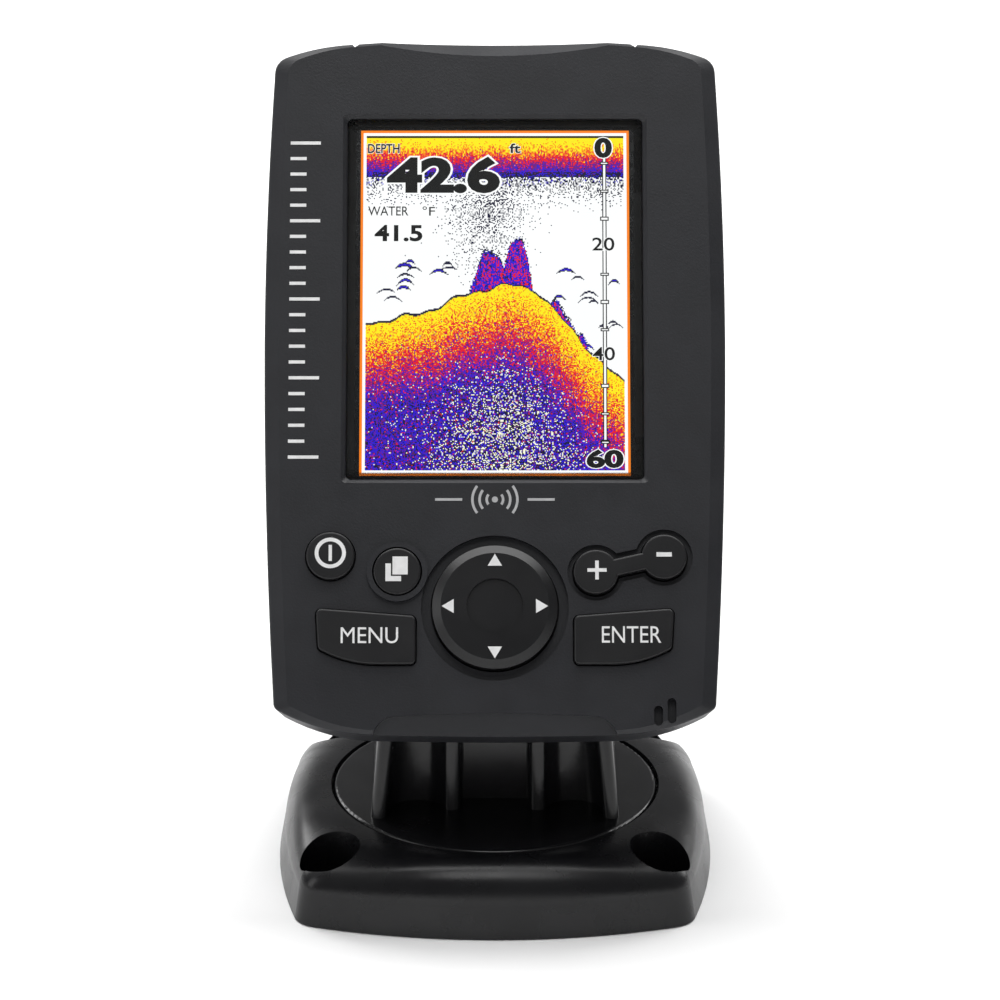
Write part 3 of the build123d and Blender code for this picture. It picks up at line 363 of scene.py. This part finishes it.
plus_bars = [box(18.03, -55.15, 21.77, -54.45), box(19.55, -54.45, 20.25, -52.92), box(19.55, -56.68, 20.25, -55.15)]
legend("plus_legend", plates(plus_bars, -1, 1), "zoom")
legend("minus_legend", plates([box(31.5, -52.13, 34.5, -51.27)], -1, 1), "zoom")

ARROW = ((10.35, 0.0), (8.0, 1.4), (8.0, -1.4))
PAD_CENTRE = -62.1
arrows = []
for turn in range(4):
    angle = math.radians(90 * turn)
    c, s = math.cos(angle), math.sin(angle)
    arrows.append([(u * c - v * s, PAD_CENTRE + u * s + v * c) for u, v in ARROW])
legend("pad_arrows", plates(arrows, -1, 1), "pad", PAD_TOP, slot="pad")

# ---- generic graphics in place of the printed names ----
RULER_LEFT = -40.6
RULER_TOP = 32.0
TICK_COUNT = 21
TICK_LONG, TICK_SHORT = 6.0, 3.2
TICK_HALF = 0.32
ticks = []
for i in range(TICK_COUNT):
    v = RULER_TOP - 2 * RULER_TOP * i / (TICK_COUNT - 1)
    length = TICK_LONG if i % 5 == 0 else TICK_SHORT
    ticks.append(box(RULER_LEFT, v - TICK_HALF, RULER_LEFT + length, v + TICK_HALF))
legend("depth_ruler", plates(ticks, -1, 1), "head", 0.0, WHITE_INK, "bezel")

MARK_V = -40.5
STROKE_HALF = 0.25
WAVE_RADII = (1.6, 3.0, 4.4)
WAVE_SPAN = 76
DOT_R = 0.6
DASH = (6.4, 11.7)
waves = []
for radius in WAVE_RADII:
    for first in (-WAVE_SPAN // 2, 180 - WAVE_SPAN // 2):
        outer = arc(0, MARK_V, radius + STROKE_HALF, first, first + WAVE_SPAN, 16)
        inner = arc(0, MARK_V, radius - STROKE_HALF, first, first + WAVE_SPAN, 16)
        waves.append(band(outer, inner, -1, 1, closed=False))
waves.append(plates([arc(0, MARK_V, DOT_R, 0, 345, 23)], -1, 1))
left_dash = box(-DASH[1], MARK_V - STROKE_HALF, -DASH[0], MARK_V + STROKE_HALF)
right_dash = box(DASH[0], MARK_V - STROKE_HALF, DASH[1], MARK_V + STROKE_HALF)
waves.append(plates([left_dash, right_dash], -1, 1))
legend("sonar_mark", joined(*waves), "head", 0.0, GREY_INK, "bezel")

# ---- display ----
mask_outer = box(-GLASS_HALF[0], GLASS_MID - GLASS_HALF[1], GLASS_HALF[0], GLASS_MID + GLASS_HALF[1])
mask_inner = box(-VIEW_HALF[0], -VIEW_HALF[1], VIEW_HALF[0], VIEW_HALF[1])
piece("window_mask", *band(mask_outer, mask_inner, LENS_BACK + 0.02, LENS_BACK + 0.05), "head", MASK_INK, "lens")


def sonar_picture():
    """Colour of every cell of the display: surface clutter, fish arches and a hard bottom, from seeded noise."""
    columns, rows = PIXELS
    rng = np.random.default_rng(SEED)
    across = (np.arange(columns) + 0.5) / columns
    down = (np.arange(rows) + 0.5) / rows
    a, b = np.meshgrid(across, down)
    picture = np.ones((rows, columns, 3))
    white = rng.random((rows, columns))
    rough = rng.normal(0, 1, (rows, columns))
    streak = np.repeat(rng.normal(0, 1, (rows // 4, columns)), 4, axis=0)

    yellow, orange, red = (1.0, 0.83, 0.0), (1.0, 0.25, 0.0), (0.78, 0.0, 0.02)
    purple, blue, navy = (0.16, 0.0, 0.20), (0.02, 0.0, 0.62), (0.0, 0.0, 0.03)
    ramp = np.array([yellow, orange, red, purple, blue, navy])

    def paint(where, strength):
        """Echo colours from strong (0, yellow) to weak (1, almost black)."""
        index = np.digitize(strength, [0.18, 0.30, 0.50, 0.66, 0.86])
        picture[where] = ramp[index][where]

    # clutter under the surface, thinning out downwards, and a column of bubbles
    surface = b / 0.125 + 0.10 * rough + 0.05 * streak
    paint(b < 0.125, surface * 0.95 - 0.12)
    thin = np.clip((0.235 - b) / 0.12, 0, 1) ** 1.6
    picture[(b > 0.108) & (white < 0.62 * thin)] = navy
    picture[(b > 0.108) & (b < 0.15) & (white > 0.93)] = blue
    column = np.exp(-(((a - 0.47) / (0.155 - 0.13 * b)) ** 2)) * np.clip((0.46 - b) / 0.22, 0, 1)
    picture[(b > 0.15) & (white < 0.42 * column)] = navy

    # the bottom: a hill with a ridge on it
    hill = 0.565 - 0.115 * np.exp(-(((a - 0.55) / 0.30) ** 2)) + 0.19 * np.clip(a - 0.66, 0, 1) / 0.34
    hill += 0.006 * np.sin(31 * a) + 0.004 * np.sin(67 * a + 1.0)
    depth = b - hill
    fall = 0.20 + 0.05 * a
    bed = np.minimum(depth / fall * 0.60 + 0.01, 0.76) + 0.13 * rough + 0.04 * streak
    paint(depth > 0, bed)
    low = np.clip((depth - 0.20) / 0.20, 0, 1) * np.exp(-(((a - 0.54) / 0.27) ** 2))
    picture[(depth > 0.14) & (white < 0.24 * low + 0.012 * (depth > 0.18))] = (1.0, 1.0, 0.75)
    picture[(depth > 0.16) & (white > 1 - 0.35 * low)] = navy
    picture[np.abs(depth) < 0.0035] = navy

    # weed and wrecks standing on the hill
    mounds = ((0.48, 0.345, 0.075), (0.585, 0.305, 0.055), (0.72, 0.50, 0.10), (0.83, 0.60, 0.055))
    for centre, top, half in mounds:
        edge = top + 0.12 * ((a - centre) / half) ** 2 + 0.008 * np.sin(90 * a + 40 * top) + 0.004 * rough
        inside = (b > edge) & (depth <= 0)
        picture[inside] = blue
        picture[inside & (rough + streak > 0.9)] = red
        picture[inside & (rough + streak < -1.6)] = navy
        picture[(np.abs(b - edge) < 0.004) & (depth <= 0) & (white < 0.7)] = navy

    # fish arches either side of the hill
    shoals = ((0.03, 0.38, 0.37, 0.50, 11), (0.70, 0.97, 0.40, 0.63, 14))
    for left, right, top, bottom, count in shoals:
        for _ in range(count):
            centre, level = rng.uniform(left, right), rng.uniform(top, bottom)
            half, rise = rng.uniform(0.02, 0.045), rng.uniform(0.008, 0.022)
            thick = rng.uniform(0.0022, 0.0060)
            x = (a - centre) / half
            curve = level + rise * x * x
            body = thick * np.clip(1.1 - x * x, 0, 1)
            inside = (np.abs(x) < 1) & (np.abs(b - curve) < body) & (depth < -0.012)
            picture[inside] = navy
            picture[inside & (np.abs(b - curve) < body * 0.4) & (body > 0.004)] = blue

    # depth scale down the right side
    rail = np.abs(a - 0.925)
    picture[(rail < 0.0065) & (b > 0.07) & (b < 0.93)] = 0.0
    picture[(rail < 0.0022) & (b > 0.07) & (b < 0.93)] = 1.0
    for i in range(12):
        level = 0.0833 * (i + 1)
        if i % 4 != 3:
            picture[(rail < 0.015) & (np.abs(b - level) < 0.0055)] = 0.0
            picture[(rail < 0.011) & (np.abs(b - level) < 0.0022)] = 1.0
    picture[b < 0.007] = 0.0
    return picture


def display():
    """The lit picture: a sheet of cells inside a white margin and an orange border."""
    columns, rows = PIXELS
    half = [VIEW_HALF[i] - BORDER - MARGIN for i in (0, 1)]
    edge = [VIEW_HALF[i] + 0.6 for i in (0, 1)]
    us = np.concatenate([[-edge[0], -half[0] - MARGIN], np.linspace(-half[0], half[0], columns + 1)])
    us = np.concatenate([us, [half[0] + MARGIN, edge[0]]])
    vs = np.concatenate([[edge[1], half[1] + MARGIN], np.linspace(half[1], -half[1], rows + 1)])
    vs = np.concatenate([vs, [-half[1] - MARGIN, -edge[1]]])
    colours = np.empty((rows + 4, columns + 4, 4))
    colours[..., :] = (1.0, 0.22, 0.0, 1.0)
    colours[1:-1, 1:-1] = 1.0
    colours[2:-2, 2:-2, :3] = sonar_picture()
    wide = len(us)
    front = LENS_BACK + 0.05
    points = [(u, v, front) for v in vs for u in us]
    faces = []
    for row in range(rows + 4):
        for column in range(columns + 4):
            i = row * wide + column
            faces.append([i, i + wide, i + wide + 1, i + 1])
    flat = colours.reshape(-1, 4)
    return piece("sonar_picture", points, faces, "head", lit_screen("lit_display"), "screen", flat)


display()

black_light = lit_screen("lit_black")
white_light = lit_screen("lit_white")


def readout(name, text, u0, v0, u1, v1, bold, halo):
    """Black digits with a white edge, as the display draws them."""
    front = LENS_BACK + 0.015
    for suffix, grow, shade, depth in (("_edge", halo, 1.0, front + 0.02), ("", 0.0, 0.0, front)):
        if suffix and not halo:
            continue
        points, faces = fitted(text, u0, v0, u1, v1, depth, depth + 0.01, bold, grow)
        colours = np.tile((shade, shade, shade, 1.0), (len(faces), 1))
        piece(name + suffix, points, faces, "head", white_light if suffix else black_light, "screen", colours)


readout("depth_reading", "42.6", -21.5, 22.3, 1.0, 29.9, 0.045, 0.035)
readout("temperature_reading", "41.5", -23.9, 12.4, -14.4, 15.8, 0.03, 0.0)
readout("depth_word", "DEPTH", -25.3, 30.6, -19.0, 32.5, 0.02, 0.03)
readout("unit_word", "ft", 2.9, 30.6, 5.1, 32.6, 0.02, 0.03)
readout("temperature_word", "WATER", -25.2, 17.7, -17.2, 19.6, 0.004, 0.0)
readout("temperature_unit", "°F", -14.4, 17.7, -11.9, 19.6, 0.004, 0.0)
readout("scale_0", "0", 19.8, 29.6, 23.3, 33.8, 0.045, 0.035)
readout("scale_20", "20", 19.3, 10.5, 23.7, 13.2, 0.01, 0.03)
readout("scale_40", "40", 19.3, -11.9, 23.7, -9.2, 0.01, 0.03)
readout("scale_60", "60", 18.0, -33.7, 25.3, -29.9, 0.045, 0.035)

# ---- floor, light and camera ----
FLOOR_HALF = 0.7
floor_mesh = bpy.data.meshes.new("floor")
floor_corners = [(u, v, 0) for u, v in box(-FLOOR_HALF, -FLOOR_HALF, FLOOR_HALF, FLOOR_HALF)]
floor_mesh.from_pydata(floor_corners, [], [(0, 1, 2, 3)])
floor = bpy.data.objects.new("floor", floor_mesh)
floor.location.z = -0.0002
scene.collection.objects.link(floor)
floor_look = Surface("pale_floor", (0.9, 0.9, 0.9), 0.9, specular=0.1)
floor_look.mottle(0.004, 2.0)
floor_look.shader.inputs["Roughness"].default_value = 0.9
floor_mesh.materials.append(floor_look.material)

world = bpy.data.worlds.new("studio")
world.use_nodes = True
sky = world.node_tree
direction = sky.nodes.new("ShaderNodeTexCoord")
height = sky.nodes.new("ShaderNodeSeparateXYZ")
dim = sky.nodes.new("ShaderNodeMapRange")
for name, number in (("From Min", 0.04), ("From Max", 0.24), ("To Min", 1.0), ("To Max", 0.2)):
    dim.inputs[name].default_value = number
sky.links.new(direction.outputs["Generated"], height.inputs["Vector"])
sky.links.new(height.outputs["Z"], dim.inputs["Value"])
sky.links.new(dim.outputs["Result"], sky.nodes["Background"].inputs["Strength"])
sky.nodes["Background"].inputs["Color"].default_value = (1.0, 1.0, 1.0, 1)
scene.world = world


def lamp(name, place, target, width, height, watts):
    """Soft rectangular light aimed at a point."""
    light = bpy.data.lights.new(name, "AREA")
    light.shape = "RECTANGLE"
    light.size = width
    light.size_y = height
    light.energy = watts
    obj = bpy.data.objects.new(name, light)
    obj.location = place
    obj.rotation_euler = (Vector(target) - Vector(place)).to_track_quat("-Z", "Y").to_euler()
    scene.collection.objects.link(obj)


MIDDLE = (0, 0, 0.08)
# Name, place, target, width, height and watts of each light.
LAMPS = (
    ("back_light", (0.0, 0.45, 1.1), (0, 0.25, 0), 1.6, 0.9, 20),
    ("front_light", (0.0, -0.31, 0.98), MIDDLE, 0.35, 0.35, 1.6),
    ("left_light", (-0.75, 0.7, 0.6), MIDDLE, 0.5, 0.5, 4.5),
    ("right_light", (0.8, 0.6, 0.5), MIDDLE, 0.4, 0.5, 2.8),
    ("side_light", (-0.9, -0.3, 0.5), MIDDLE, 0.4, 0.6, 1.5),
)
for settings in LAMPS:
    lamp(*settings)
scene.view_settings.view_transform = "Standard"

CAMERA_PLACE = (0.00100, -0.9091, 0.4381)
CAMERA_PITCH = 68.24
camera_data = bpy.data.cameras.new("camera")
camera_data.lens = 178.4
camera_data.sensor_width = 36.0
camera_data.clip_start = 0.01
camera_data.clip_end = 20.0
camera = bpy.data.objects.new("camera", camera_data)
camera.location = CAMERA_PLACE
camera.rotation_euler = (math.radians(CAMERA_PITCH), 0, 0)
scene.collection.objects.link(camera)
scene.camera = camera
